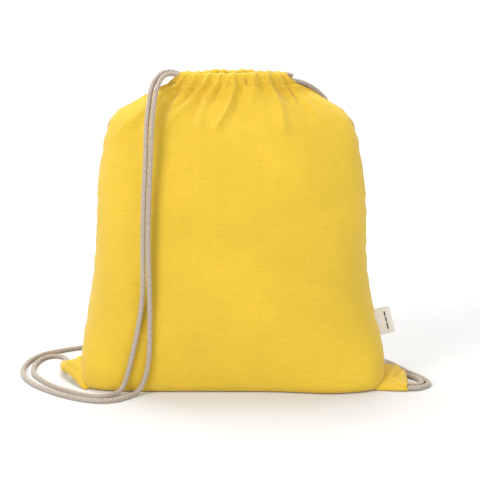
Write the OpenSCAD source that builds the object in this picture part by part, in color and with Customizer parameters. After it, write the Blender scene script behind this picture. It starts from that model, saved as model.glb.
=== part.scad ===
// Drawstring backpack: a cotton sack gathered on two cords that run on to
// become its shoulder straps. X is across the bag, -Y is its front, +Z is up.
// The origin is on the surface that the bag stands on, below its middle.

/* [Bag] */
// Half of the width between the side seams at the belly of the filled bag
belly_half_w = 147; // [135:1:160]
// Half of the depth of the filled bag, front to back
belly_half_d = 77; // [60:1:85]
// Height of the line where the gathered casings are sewn
stitch_z = 321; // [310:1:340]
// Thickness of the cloth with the small folds in it
cloth_t = 1.4; // [1:0.1:2]
// Width of the seam allowance inside the bag
seam_w = 8; // [6:0.5:12]

/* [Casings] */
// Length of the gathered mouth, end to end
mouth_w = 112; // [100:1:130]
// Distance from the middle of the mouth to the middle of each lip
lip_y = 16; // [14:0.5:20]
// The same distance at the ends of the mouth
lip_end_y = 8; // [7.5:0.5:10]
// Height of a casing
casing_h = 13.6; // [13.2:0.2:18]
// Thickness of a casing, cloth and cords together
casing_t = 8.4; // [7.6:0.2:10]

/* [Cords] */
// Diameter of the braided cord
cord_d = 5; // [4:0.5:5]
// Diameter of the knot at the end of a strap
knot_d = 15; // [12:1:18]
// Length of each loose end beyond its knot
tail_l = 26; // [15:1:40]

/* [Label] */
// How far the folded label stands out of the side seam
label_w = 16; // [12:1:20]
// Height of the label along the seam
label_h = 30; // [20:1:36]
// Thickness of the folded label
label_t = 1; // [0.6:0.1:1.5]

/* [Hidden] */

$fn = 48;
cotton = [0.94, 0.78, 0.2];
cotton_shade = [0.9, 0.72, 0.15];
cord_colour = [0.8, 0.76, 0.7];
thread_colour = [0.95, 0.82, 0.3];
label_colour = [0.93, 0.92, 0.88];

seam_half = 1;          // half of the two seam layers between the panels
seam_lift = 0.5;        // the stiff side seams stand this far off the ground
panel_columns = 28;     // facets across a panel
panel_rows = 30;        // facets up a panel
cord_sides = 8;
rings_per_span = 2;     // rings between two points of a cord's route
cloth_wall = 1;         // wall of the casing tube
tunnel_play = 0.35;     // clearance of the cord in its corner tunnel

// Side view of the filled bag from the bottom seam up: height, half width on
// the left and on the right, half depth, and how square the section is at
// the front, whose bottom corners are pulled tight, and at the back.
kw = belly_half_w / 147;
kd = belly_half_d / 77;
kz = stitch_z / 321;
outline = [
    [0, 150, 150, 0, 5, 2.2],
    [0, 154, 154, 32, 5, 2.8],
    [0, 158, 158, 62, 6.5, 3.1],
    [4, 161, 161, 70, 7, 3.2],
    [16, 164, 164, 72.5, 6, 3],
    [42, 163, 162, 74, 4.4, 2.8],
    [82, 157, 152, 76.5, 3.1, 2.6],
    [132, 150, 145, 77, 2.4, 2.3],
    [185, 147, 144, 73, 2.2, 2.2],
    [220, 145, 141, 67, 2.2, 2.2],
    [250, 140, 136, 58, 2.1, 2.1],
    [272, 135, 131, 48, 2, 2],
    [287, 128, 123, 39, 2, 2],
    [300, 110, 107, 30, 2, 2],
    [311, 88, 87, 23, 2, 2],
    [320.5, 64, 66, 19, 2, 2]];
rows = len(outline) - 1;

function clampi(i) = min(max(i, 0), rows);
function spline(a, b, c, d, t) =
    0.5 * ((2 * b) + (c - a) * t + (2 * a - 5 * b + 4 * c - d) * t * t
    + (3 * b - a - 3 * c + d) * t * t * t);
// One row of the outline at any height, v from 0 at the bottom seam to 1
function profile(v) =
    let (f = v * rows, i = min(floor(f), rows - 1), t = f - i)
    spline(outline[clampi(i - 1)], outline[i], outline[i + 1],
        outline[clampi(i + 2)], t);
// A point of the outer skin: s from -1 at the left seam to 1 at the right
// seam, side -1 for the front panel and 1 for the back panel
function skin(s, v, side) =
    let (p = profile(v), sx = sin(90 * s),
        x = sx * kw * (s < 0 ? p[1] : p[2]),
        n = side < 0 ? p[4] : p[5],
        y = kd * p[3] * pow(max(1 - pow(abs(sx), n), 0), 1 / n))
    [x, side * max(y, seam_half),
        kz * max(p[0], 0) + seam_lift * pow(abs(sx), 20)];
step = 0.002;
function unit(a) = a / norm(a);
// At the seams the skin has no slope of its own to take a direction from
function inward(s, v, side) =
    let (s0 = max(s - step, -1), s1 = min(s + step, 1),
        v0 = max(v - step, 0), v1 = min(v + step, 1),
        n = side * cross(skin(s1, v, side) - skin(s0, v, side),
            skin(s, v1, side) - skin(s, v0, side)))
    abs(s) > 0.999 ? [-sign(s), 0, 0] : norm(n) < 0.000001 ? [0, 0, 1] : unit(n);
function lining(s, v, side) =
    let (p = skin(s, v, side) + cloth_t * inward(s, v, side))
    [p[0], side * max(side * p[1], seam_half),
        v == 1 ? skin(s, v, side)[2] : max(p[2], cloth_t * 0.8)];

// A grid of points, rows of equal length, as quads split in two
function grid_faces(w, h, base, flip) = [
    for (j = [0:h - 2], i = [0:w - 2], k = [0, 1])
    let (a = base + j * w + i,
        f = k == 0 ? [a, a + 1, a + w + 1] : [a, a + w + 1, a + w])
    flip ? [f[2], f[1], f[0]] : f];
function strip_faces(a, b, flip) = [
    for (i = [0:len(a) - 2], k = [0, 1])
    let (f = k == 0 ? [a[i], a[i + 1], b[i + 1]] : [a[i], b[i + 1], b[i]])
    flip ? [f[2], f[1], f[0]] : f];

module panel(side) {
    w = panel_columns + 1;
    h = panel_rows + 1;
    n = w * h;
    outer = [for (j = [0:h - 1], i = [0:w - 1])
        skin(2 * i / panel_columns - 1, j / panel_rows, side)];
    inner = [for (j = [0:h - 1], i = [0:w - 1])
        lining(2 * i / panel_columns - 1, j / panel_rows, side)];
    low = [for (i = [0:w - 1]) i];
    high = [for (i = [0:w - 1]) (h - 1) * w + i];
    left = [for (j = [0:h - 1]) j * w];
    right = [for (j = [0:h - 1]) j * w + w - 1];
    flip = side > 0;
    polyhedron(concat(outer, inner), concat(
        grid_faces(w, h, 0, !flip),
        grid_faces(w, h, n, flip),
        strip_faces(low, low + [for (i = low) n], flip),
        strip_faces(high, high + [for (i = high) n], !flip),
        strip_faces(left, left + [for (i = left) n], !flip),
        strip_faces(right, right + [for (i = right) n], flip)));
}

module front_panel() {
    color(cotton) panel(-1);
}

module back_panel() {
    color(cotton) panel(1);
}

// The two seam allowances lie together inside the bag along its side
seam_low_v = 0.3;
module side_seam(s) {
    count = 24;
    line = [for (j = [0:count])
        let (v = seam_low_v + (0.985 - seam_low_v) * j / count,
            p = skin(s, v, -1), q = lining(s, v, -1))
        [[p[0], p[2]], [p[0] - s * seam_w, p[2] - (v > 0.75 ? seam_w / 2 : 0)]]];
    rotate([90, 0, 0])
        linear_extrude(2 * seam_half, center = true)
            polygon(concat([for (p = line) p[0]],
                [for (j = [0:count]) line[count - j][1]]));
}

module left_side_seam() {
    color(cotton_shade) side_seam(-1);
}

module right_side_seam() {
    color(cotton_shade) side_seam(1);
}

module bottom_seam() {
    color(cotton_shade)
        translate([-kw * 140, -seam_half, 0])
            cube([kw * 280, 2 * seam_half, seam_w]);
}

// Routes of the four strap strands, from the end of a casing to a knot.
// They lie on the bag and then on the surface that it stands on.
floor_z = cord_d / 2;
left_front_route = [
    [-57.5, -8, 331], [-66, -11, 333], [-74, -18, 330], [-79, -27, 321],
    [-82, -38, 307], [-84, -52, 283], [-85, -65, 250], [-87, -73, 205],
    [-88, -76, 160], [-87, -77.5, 115], [-87, -77, 70], [-89, -76.5, 35],
    [-94, -76, 14], [-101, -80, 4], [-110, -93, 2.5], [-122, -105, 2.5],
    [-138, -109, 2.5], [-156, -103, 2.5], [-176, -89, 2.5],
    [-197, -68, 2.5], [-216, -42, 2.5], [-229, -12, 2.5],
    [-234, 20, 2.5], [-231, 52, 2.5], [-220, 80, 2.5], [-203, 96, 2.5],
    [-186, 108, 2.5], [-168, 118, 2.5], [-148, 126, 3]];
left_back_route = [
    [-57.5, 8, 331], [-67, 4, 334], [-77, -7, 332], [-85, -21, 321],
    [-88, -36, 303], [-90, -51, 280], [-90.5, -64, 249], [-92.5, -72, 205],
    [-93.5, -75, 160], [-94, -76, 115], [-98, -75, 80], [-106, -75, 42],
    [-113, -75, 16], [-119, -79, 5], [-127, -86, 2.8], [-140, -93, 2.5],
    [-156, -87, 2.5], [-173, -73, 2.5], [-191, -54, 2.5],
    [-207, -30, 2.5], [-219, -4, 2.5], [-223, 22, 2.5], [-222, 45, 2.5],
    [-218, 61, 2.5], [-211, 71, 2.5], [-202, 73, 2.5], [-194, 67, 2.5],
    [-190, 55, 3], [-189, 38, 5], [-188, 20, 7], [-187, 4, 8],
    [-183, -7, 10], [-176, -11, 13], [-170, -7, 16], [-168, 4, 17],
    [-168, 19, 15], [-169, 34, 10], [-170, 50, 6], [-170, 67, 3.5],
    [-167, 84, 2.5], [-160, 101, 2.5], [-149, 116, 3]];
right_front_route = [
    [57.5, -8, 325.5], [67, -5, 325], [78, 2, 321], [90, 12, 313],
    [100, 25, 302], [107, 39, 286], [113, 50, 266], [118, 58, 240],
    [122, 64, 205], [127, 67, 165], [131, 67, 125], [136, 66, 90],
    [142, 60, 58], [149, 54, 36], [157, 46, 20], [165, 35, 10],
    [171.5, 20, 6], [175, 4, 7], [176.5, -11, 10], [177.5, -25, 9.5],
    [179.5, -38, 6.5], [185, -47, 4.2], [193, -50, 3], [201, -46, 2.5],
    [204, -37, 2.5], [202, -26, 2.5], [195, -14, 2.5], [187, -2, 2.5],
    [182, 10, 2.5], [178, 22, 2.5], [172, 36, 2.5], [161, 52, 2.5],
    [146, 68, 2.5], [124, 86, 2.5], [99, 98, 2.5], [74, 107, 2.5],
    [48, 113, 2.5], [26, 117, 2.5], [12, 118, 4]];
right_back_route = [
    [57.5, 8, 325.5], [67, 12, 323], [77, 19, 317], [87, 27, 308],
    [95, 38, 294], [101, 48, 276], [106, 57, 254], [110, 64, 225],
    [115, 69, 190], [119, 72, 150], [124, 72, 112], [130, 69, 78],
    [135, 65, 52], [141, 59, 32], [149, 51, 19], [156, 42, 11], [162, 31, 7],
    [166.3, 16, 6], [168, 0, 8.5], [168.5, -14, 11], [168.5, -30, 9.5],
    [172, -46, 6.8], [181, -59, 4], [193, -62, 3], [204, -55, 2.5],
    [211, -41, 2.5], [208, -25, 2.5], [201, -10, 2.5], [194, 3, 2.5],
    [189, 15, 2.5], [184, 27, 2.5], [178, 41, 2.5], [167, 57, 2.5],
    [152, 73, 2.5], [132, 90, 2.5], [112, 103, 2.5], [89, 114, 2.5],
    [60, 122, 2.5], [34, 124, 2.5], [14, 121, 4]];

function route_point(r, f) =
    let (n = len(r) - 1, i = min(floor(f), n - 1), t = f - i)
    spline(r[max(i - 1, 0)], r[i], r[i + 1], r[min(i + 2, n)], t);
function route_rings(r, first, last) =
    let (count = (last - first) * rings_per_span)
    [for (k = [0:count]) route_point(r, first + k / rings_per_span)];
function ring_tangent(p, i) =
    unit(p[min(i + 1, len(p) - 1)] - p[max(i - 1, 0)]);
// Side vectors carried along the route, so that the rings do not twist
function carry(p, i, side) =
    let (t = ring_tangent(p, i), s = unit(side - (side * t) * t))
    i == len(p) - 1 ? [s] : concat([s], carry(p, i + 1, s));

function tube_points(r, first, last, radius) =
    let (p = route_rings(r, first, last), sides = carry(p, 0, [0.1, 0.9, 0.3]))
    [for (i = [0:len(p) - 1], k = [0:cord_sides - 1])
        let (t = ring_tangent(p, i), u = sides[i], w = cross(t, u),
            a = 360 * k / cord_sides)
        p[i] + radius * (cos(a) * u + sin(a) * w)];
function tube_walls(count, base, flip) = [
    for (i = [0:count - 2], k = [0:cord_sides - 1])
    let (a = base + i * cord_sides + k,
        b = base + i * cord_sides + (k + 1) % cord_sides,
        f = [a, a + cord_sides, b + cord_sides, b])
    flip ? [f[3], f[2], f[1], f[0]] : f];

module sweep(r, first, last, radius) {
    points = tube_points(r, first, last, radius);
    n = len(points);
    start = [for (k = [0:cord_sides - 1]) k];
    end = [for (k = [0:cord_sides - 1]) n - 1 - k];
    polyhedron(points, concat(tube_walls(n / cord_sides, 0, false),
        [start, end]));
}

// A hollow tube of cloth round one stretch of a cord
module sleeve(r, first, last) {
    inner_r = cord_d / 2 + tunnel_play;
    outer = tube_points(r, first, last, inner_r + cloth_wall);
    inner = tube_points(r, first, last, inner_r);
    n = len(outer);
    rim = [for (k = [0:cord_sides - 1])
        let (j = (k + 1) % cord_sides) [k, j, n + j, n + k]];
    far = n - cord_sides;
    far_rim = [for (f = rim) [for (i = [3:-1:0]) f[i] + far]];
    polyhedron(concat(outer, inner), concat(
        tube_walls(n / cord_sides, 0, false),
        tube_walls(n / cord_sides, n, true), rim, far_rim));
}

module strand(r) {
    color(cord_colour) sweep(r, 0, len(r) - 1, cord_d / 2);
}

module left_strap_front_strand() {
    strand(left_front_route);
}

module left_strap_back_strand() {
    strand(left_back_route);
}

module right_strap_front_strand() {
    strand(right_front_route);
}

module right_strap_back_strand() {
    strand(right_back_route);
}

// Corner tunnels: the bottom corners of the sack, pulled out and sewn
// across so that a cord passes through each of them. The rest of each
// corner is a soft flap beside its tunnel.
module flap(balls) {
    hull()
        for (b = balls)
            translate([b[0], b[1], b[2]])
                sphere(b[3], $fn = 16);
}

module left_corner() {
    color(cotton) {
        sleeve(left_back_route, 28, 35);
        flap([[-181, -21, 9, 4.5], [-171, -30, 7, 5], [-169, -46, 5, 4.2]]);
    }
}

module right_corner() {
    color(cotton) {
        sleeve(right_front_route, 18, 21);
        sleeve(right_back_route, 18, 22);
        flap([[186, -33, 8, 3.5], [185, -10, 10, 3.5]]);
        flap([[169.5, -64, 5.2, 4.6], [176, -69, 4.6, 4.4]]);
    }
}

// Each lip of the mouth is an arc seen from above
half_mouth = mouth_w / 2;
lip_rise = lip_y - lip_end_y;
lip_r = (half_mouth * half_mouth + lip_rise * lip_rise) / (2 * lip_rise);
lip_angle = asin(half_mouth / lip_r);
casing_low = stitch_z;
casing_mid = casing_low + casing_h / 2;
upper_cord_z = casing_mid + cord_d / 2 + 0.3;
lower_cord_z = casing_mid - cord_d / 2 - 0.3;

// Turns a flat section around the lip's own centre
module lip_sweep(side, from, to) {
    translate([0, side * (lip_y - lip_r), 0])
        rotate([0, 0, side * 90 + from])
            rotate_extrude(angle = to - from, $fn = 180)
                translate([lip_r, 0])
                    children();
}

module slot_outline(t, h) {
    for (k = [-1, 1])
        translate([0, k * (h - t) / 2])
            circle(t / 2);
    square([t, h - t], center = true);
}

module casing(side) {
    color(cotton)
        lip_sweep(side, -lip_angle, lip_angle)
            translate([0, casing_mid])
                difference() {
                    slot_outline(casing_t, casing_h);
                    slot_outline(casing_t - 2 * cloth_wall,
                        casing_h - 2 * cloth_wall);
                }
}

module front_casing() {
    casing(-1);
}

module back_casing() {
    casing(1);
}

// A row of stitches along the foot of a casing, on its outer face
module casing_stitching(side) {
    pitch = 1.5;
    count = floor((lip_angle - 1) / pitch);
    color(thread_colour)
        for (k = [-count:count])
            lip_sweep(side, k * pitch - 0.5, k * pitch + 0.5)
                translate([casing_t / 2, casing_low + 4.4])
                    square([0.6, 0.6]);
}

module front_casing_stitching() {
    casing_stitching(-1);
}

module back_casing_stitching() {
    casing_stitching(1);
}

module cord_run(side, z) {
    color(cord_colour)
        lip_sweep(side, -lip_angle, lip_angle)
            translate([0, z])
                circle(cord_d / 2);
}

module left_cord_front_run() {
    cord_run(-1, upper_cord_z);
}

module left_cord_back_run() {
    cord_run(1, upper_cord_z);
}

module right_cord_front_run() {
    cord_run(-1, lower_cord_z);
}

module right_cord_back_run() {
    cord_run(1, lower_cord_z);
}

// A cord turns back at the far end of the mouth, from one lip to the other
return_r = lip_end_y / cos(lip_angle);
return_x = half_mouth - return_r * sin(lip_angle);
module cord_return(end, z) {
    color(cord_colour)
        intersection() {
            translate([end * return_x, 0, z])
                rotate_extrude($fn = 96)
                    translate([return_r, 0])
                        circle(cord_d / 2);
            translate([end > 0 ? half_mouth + 1.2 : -half_mouth - 41.2,
                -20, z - 10])
                cube([40, 40, 20]);
        }
}

module left_cord_return() {
    cord_return(1, upper_cord_z);
}

module right_cord_return() {
    cord_return(-1, lower_cord_z);
}

// The label is a folded tape, sewn into the right side seam
label_low = [162.6, 46];
label_lean = 14.5;
module in_label_plane() {
    translate([label_low[0], 0, label_low[1]])
        rotate([0, -label_lean, 0])
            rotate([90, 0, 0])
                children();
}

module side_label() {
    color(label_colour)
        in_label_plane()
            linear_extrude(label_t, center = true)
                union() {
                    square([label_w - 1, label_h]);
                    translate([label_w - 1.5, 0.5])
                        square([1.5, label_h - 1]);
                }
}

module label_stitching() {
    color(thread_colour)
        in_label_plane()
            for (k = [0:6], face = [-1, 1])
                translate([-5, 3 + 4 * k, face * (seam_half + 0.2)])
                    cube([0.6, 2.6, 0.4], center = true);
}

// A strap's two ends are tied together in a knot, with loose ends left over
module knot(at, turn) {
    color(cord_colour)
        translate([at[0], at[1], knot_d / 2])
            rotate([0, 0, turn]) {
                sphere(knot_d / 2);
                for (k = [-1, 1])
                    translate([0, k * 3.5, floor_z - knot_d / 2])
                        rotate([0, 90, k * 8])
                            cylinder(h = knot_d / 2 + tail_l, r = cord_d / 2);
            }
}

module left_knot() {
    knot([-142, 124], 20);
}

module right_knot() {
    knot([5, 120], 185);
}

front_panel();
back_panel();
left_side_seam();
right_side_seam();
bottom_seam();
left_corner();
right_corner();
front_casing();
back_casing();
front_casing_stitching();
back_casing_stitching();
left_cord_front_run();
left_cord_back_run();
left_cord_return();
right_cord_front_run();
right_cord_back_run();
right_cord_return();
side_label();
label_stitching();
left_strap_front_strand();
left_strap_back_strand();
right_strap_front_strand();
right_strap_back_strand();
left_knot();
right_knot();
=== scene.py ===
"""Drawstring backpack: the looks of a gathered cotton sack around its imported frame.

Metres, +Z up, and -Y is the front. Shapes are worked out in millimetres up to their meshes."""

import math

import bmesh
import bpy
import numpy as np
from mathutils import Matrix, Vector


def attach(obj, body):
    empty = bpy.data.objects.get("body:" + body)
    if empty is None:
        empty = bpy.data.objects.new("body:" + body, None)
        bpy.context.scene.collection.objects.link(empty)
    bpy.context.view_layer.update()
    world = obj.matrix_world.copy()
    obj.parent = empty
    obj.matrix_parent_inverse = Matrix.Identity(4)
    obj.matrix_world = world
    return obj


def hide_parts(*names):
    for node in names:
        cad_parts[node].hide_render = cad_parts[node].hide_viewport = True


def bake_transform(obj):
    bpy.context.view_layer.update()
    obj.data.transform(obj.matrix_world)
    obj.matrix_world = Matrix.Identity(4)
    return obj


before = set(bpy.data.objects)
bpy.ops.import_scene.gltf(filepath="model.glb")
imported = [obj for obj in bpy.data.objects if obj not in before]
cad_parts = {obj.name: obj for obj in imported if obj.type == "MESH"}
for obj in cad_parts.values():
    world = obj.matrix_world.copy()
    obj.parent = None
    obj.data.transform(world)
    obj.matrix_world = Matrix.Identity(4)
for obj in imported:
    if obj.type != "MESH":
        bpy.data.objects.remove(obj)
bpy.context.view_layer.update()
MM = 0.001

# ---------------------------------------------------------------- camera

CAMERA_AT = (0.0075, -1.70, 0.47)
CAMERA_DOWN = math.radians(10.6)
camera = bpy.data.objects.new("camera", bpy.data.cameras.new("camera"))
camera.data.sensor_width = 36
camera.data.lens = 119.4
camera.data.clip_end = 20
camera.location = CAMERA_AT
camera.rotation_euler = (math.pi / 2 - CAMERA_DOWN, 0, 0)
bpy.context.scene.collection.objects.link(camera)
bpy.context.scene.camera = camera
bpy.context.scene.view_settings.view_transform = "Standard"


# ---------------------------------------------------------------- helpers

NO_LINE_STARTS_THIS_WAY = (0.1, 0.9, 0.3)


def spline(points, per_span):
    """The same curve through listed points as the frame's cords follow."""
    p = np.asarray(points, float)
    last = len(p) - 1
    out = []
    for i in range(last):
        a, b, c, d = p[max(i - 1, 0)], p[i], p[i + 1], p[min(i + 2, last)]
        for t in np.arange(per_span) / per_span:
            out.append(
                0.5 * (2 * b + (c - a) * t + (2 * a - 5 * b + 4 * c - d) * t * t
                       + (3 * b - a - 3 * c + d) * t ** 3)
            )
    out.append(p[last])
    return np.array(out)


def arc_lengths(line):
    """How far along a line each of its points lies."""
    return np.r_[0, np.cumsum(np.linalg.norm(np.diff(line, axis=0), axis=1))]


def resample(line, count):
    """The same line through evenly spaced points."""
    s = arc_lengths(line)
    u = np.linspace(0, s[-1], count)
    return np.stack([np.interp(u, s, line[:, k]) for k in range(line.shape[1])], 1)


def smooth(t):
    """From 0 to 1 as t does, level at both ends."""
    t = np.clip(t, 0, 1)
    return t * t * (3 - 2 * t)


def grid_mesh(name, points, uv, material, wrap=False, flip=False):
    """A mesh over a (rows, columns, 3) array; wrap joins the last column to the first."""
    rows, cols = points.shape[:2]
    j, i = np.meshgrid(np.arange(rows - 1), np.arange(cols if wrap else cols - 1), indexing="ij")
    k = (i + 1) % cols
    low, high = j * cols, (j + 1) * cols
    quads = np.stack([low + i, low + k, high + k, high + i], -1).reshape(-1, 4)
    beside = np.minimum(i + 1, uv.shape[1] - 1)
    corner_uv = np.stack([uv[j, i], uv[j, beside], uv[j + 1, beside], uv[j + 1, i]], -2).reshape(-1, 4, 2)
    if flip:
        quads = quads[:, ::-1]
        corner_uv = corner_uv[:, ::-1]
    return mesh_object(name, points.reshape(-1, 3), quads, corner_uv.reshape(-1, 2), material)


def mesh_object(name, points, faces, uv, material):
    """A smooth-shaded object in the scene; uv holds one pair for each corner of each face."""
    mesh = bpy.data.meshes.new(name)
    mesh.from_pydata([tuple(p) for p in points], [], [tuple(int(v) for v in f) for f in faces])
    layer = mesh.uv_layers.new(name="cloth")
    layer.data.foreach_set("uv", np.asarray(uv, np.float32).ravel())
    mesh.polygons.foreach_set("use_smooth", [True] * len(mesh.polygons))
    mesh.materials.append(material)
    mesh.update()
    obj = bpy.data.objects.new(name, mesh)
    bpy.context.scene.collection.objects.link(obj)
    return obj


def frames_along(line):
    """Two side vectors at each point of a line, which do not twist along it."""
    t = np.gradient(line, axis=0)
    t /= np.linalg.norm(t, axis=1)[:, None]
    side = np.zeros_like(t)
    s = np.cross(t[0], NO_LINE_STARTS_THIS_WAY)
    for i in range(len(t)):
        s = s - (s @ t[i]) * t[i]
        s /= np.linalg.norm(s)
        side[i] = s
    return side, np.cross(t, side)


def tube_points(line, radius, sides):
    """Rings of points round a line. radius is one number or an array of (rings, sides)."""
    u, w = frames_along(line)
    a = 2 * math.pi * np.arange(sides) / sides
    ring = np.cos(a)[None, :, None] * u[:, None] + np.sin(a)[None, :, None] * w[:, None]
    return line[:, None] + np.asarray(radius)[..., None] * ring


def tube_uv(line, diameter, sides):
    """Real lengths round and along a tube."""
    around = math.pi * diameter * np.arange(sides) / sides
    return np.stack(np.broadcast_arrays(around[None], arc_lengths(line)[:, None]), -1)


def close_ends(obj, rings, sides):
    """Caps the two ends of a tube."""
    b = bmesh.new()
    b.from_mesh(obj.data)
    b.verts.ensure_lookup_table()
    b.faces.new([b.verts[i] for i in range(sides)])
    b.faces.new([b.verts[(rings - 1) * sides + i] for i in reversed(range(sides))])
    bmesh.ops.recalc_face_normals(b, faces=b.faces)
    b.to_mesh(obj.data)
    b.free()


def thin_tube(name, line, diameter, sides, material):
    """A plain thread or fibre."""
    points = tube_points(line, diameter / 2, sides)
    obj = grid_mesh(name, points, tube_uv(line, diameter, sides), material, wrap=True, flip=True)
    close_ends(obj, len(line), sides)
    return obj


def thicken(obj, thickness, offset=-1.0):
    """Gives a cloth its real thickness and applies it."""
    modifier = obj.modifiers.new("thickness", "SOLIDIFY")
    modifier.thickness = thickness
    modifier.offset = offset
    modifier.use_even_offset = False
    bpy.context.view_layer.update()
    evaluated = obj.evaluated_get(bpy.context.evaluated_depsgraph_get())
    mesh = bpy.data.meshes.new_from_object(evaluated)
    obj.modifiers.clear()
    obj.data = mesh
    return obj


def join_into(obj, others):
    """Adds other meshes to one piece."""
    bpy.ops.object.select_all(action="DESELECT")
    for other in others:
        other.select_set(True)
    obj.select_set(True)
    bpy.context.view_layer.objects.active = obj
    bpy.ops.object.join()
    return obj


# ---------------------------------------------------------------- materials


class Nodes:
    """Short names for building a material's nodes."""

    def __init__(self, name, colour, roughness):
        self.material = bpy.data.materials.new(name)
        self.material.use_nodes = True
        self.tree = self.material.node_tree
        self.shader = self.tree.nodes["Principled BSDF"]
        self.shader.inputs["Base Color"].default_value = (*colour, 1)
        self.shader.inputs["Roughness"].default_value = roughness

    def add(self, kind, **settings):
        node = self.tree.nodes.new("ShaderNode" + kind)
        for key, value in settings.items():
            if key[0].isupper():
                node.inputs[key.replace("_", " ")].default_value = value
            else:
                setattr(node, key, value)
        return node

    def link(self, a, b):
        self.tree.links.new(a, b)

    def math(self, operation, a, b=None):
        node = self.add("Math", operation=operation)
        for socket, value in zip(node.inputs, (a, b)):
            if value is None:
                continue
            if isinstance(value, (int, float)):
                socket.default_value = value
            else:
                self.link(value, socket)
        return node.outputs[0]

    def mapped(self, scale, source="UV"):
        coordinates = self.add("TexCoord")
        mapping = self.add("Mapping")
        mapping.inputs["Scale"].default_value = scale
        self.link(coordinates.outputs[source], mapping.inputs["Vector"])
        return mapping.outputs[0]

    def noise(self, scale, detail=3.0, source="UV", rough=0.5):
        node = self.add("TexNoise", Scale=1.0, Detail=detail, Roughness=rough)
        self.link(self.mapped(scale, source), node.inputs["Vector"])
        return node.outputs["Fac"]

    def ramp(self, fac, stops):
        node = self.add("ValToRGB")
        node.color_ramp.elements[0].position = stops[0][0]
        node.color_ramp.elements[0].color = (*stops[0][1], 1)
        node.color_ramp.elements[1].position = stops[-1][0]
        node.color_ramp.elements[1].color = (*stops[-1][1], 1)
        for position, colour in stops[1:-1]:
            node.color_ramp.elements.new(position).color = (*colour, 1)
        self.link(fac, node.inputs["Fac"])
        return node.outputs["Color"]

    def multiply(self, fac, a, b):
        node = self.add("Mix", data_type="RGBA", blend_type="MULTIPLY")
        node.inputs[0].default_value = fac
        self.link(a, node.inputs[6])
        self.link(b, node.inputs[7])
        return node.outputs[2]

    def bump(self, height, strength, distance):
        node = self.add("Bump", Strength=strength, Distance=distance)
        self.link(height, node.inputs["Height"])
        self.link(node.outputs[0], self.shader.inputs["Normal"])

    def colour(self, socket):
        self.link(socket, self.shader.inputs["Base Color"])


def cotton(name, colour, thread=0.00045, sheen=0.25):
    """Plain weave with uneven threads, slubs across the cloth and a slow change of tone."""
    m = Nodes(name, colour, 0.86)
    m.shader.inputs["Sheen Weight"].default_value = sheen
    m.shader.inputs["Sheen Roughness"].default_value = 0.5
    m.shader.inputs["Specular IOR Level"].default_value = 0.25
    split = m.add("SeparateXYZ")
    m.link(m.mapped((2 * math.pi / thread,) * 3), split.inputs[0])
    warp = m.math("SINE", split.outputs[0])
    weft = m.math("SINE", split.outputs[1])
    weave = m.math("MULTIPLY", warp, weft)
    slub = m.noise((60, 1400, 1), 4.0)
    slub_down = m.noise((1500, 50, 1), 4.0)
    cloud = m.noise((9, 9, 9), 4.0)
    dark = tuple(c * 0.9 for c in colour)
    light = tuple(min(c * 1.06, 1) for c in colour)
    tone = m.ramp(cloud, [(0.3, dark), (0.7, light)])
    grey = m.ramp(slub, [(0.36, (0.9, 0.88, 0.8)), (0.5, (1, 1, 1)), (0.72, (1, 1, 1))])
    thread_tone = m.ramp(slub_down, [(0.33, (0.93, 0.92, 0.86)), (0.5, (1, 1, 1)), (0.7, (1, 1, 1))])
    m.colour(m.multiply(0.8, m.multiply(0.8, tone, grey), thread_tone))
    height = m.math("ADD", m.math("MULTIPLY", weave, 0.5), m.math("MULTIPLY", slub, 0.9))
    m.bump(m.math("ADD", height, m.math("MULTIPLY", slub_down, 0.6)), 0.35, 0.00025)
    return m.material


def braid(name, colour):
    """Natural cotton yarns: painted shade in the grooves and painted light on the yarn crests, with fine
    fibres along each yarn.
    """
    m = Nodes(name, colour, 0.9)
    m.shader.inputs["Sheen Weight"].default_value = 0.3
    m.shader.inputs["Specular IOR Level"].default_value = 0.2
    height = m.add("Attribute", attribute_name="braid_height").outputs["Fac"]
    # Painted shade in the grooves between yarns and painted light on their crests, following
    # braid_height.
    dark = tuple(c * f for c, f in zip(colour, (0.50, 0.46, 0.44)))
    mid = tuple(c * f for c, f in zip(colour, (0.9, 0.88, 0.86)))
    light = tuple(min(c * 1.15, 1) for c in colour)
    yarn_groove_shade_and_crest_light = m.ramp(height, [(0.15, dark), (0.5, mid), (0.95, light)])
    flecks = m.ramp(m.noise((900, 260, 1), 3.0), [(0.35, (0.72, 0.68, 0.64)), (0.55, (1, 1, 1))])
    m.colour(m.multiply(0.7, yarn_groove_shade_and_crest_light, flecks))
    fibres = m.noise((2600, 700, 1), 2.0)
    m.bump(fibres, 0.4, 0.0003)
    return m.material


def plain_thread(name, colour):
    """Twisted sewing thread, or ink with the same fine grain."""
    m = Nodes(name, colour, 0.75)
    twist = m.noise((3000, 3000, 3000), 2.0, "Object")
    m.colour(m.ramp(twist, [(0.3, tuple(c * 0.8 for c in colour)), (0.7, colour)]))
    m.bump(twist, 0.5, 0.0002)
    return m.material


YELLOW = (0.76, 0.51, 0.038)
COTTON = cotton("yellow_cotton", YELLOW)
ALLOWANCE = cotton("yellow_cotton_edge", (0.68, 0.42, 0.035))
CORD = braid("braided_cotton", (0.50, 0.435, 0.37))
THREAD = plain_thread("yellow_thread", (0.85, 0.58, 0.08))
LABEL = cotton("label_tape", (0.96, 0.97, 1.0), 0.0003, 0.1)
INK = plain_thread("label_bars", (0.05, 0.05, 0.055))

# ---------------------------------------------------------------- cords

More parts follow.
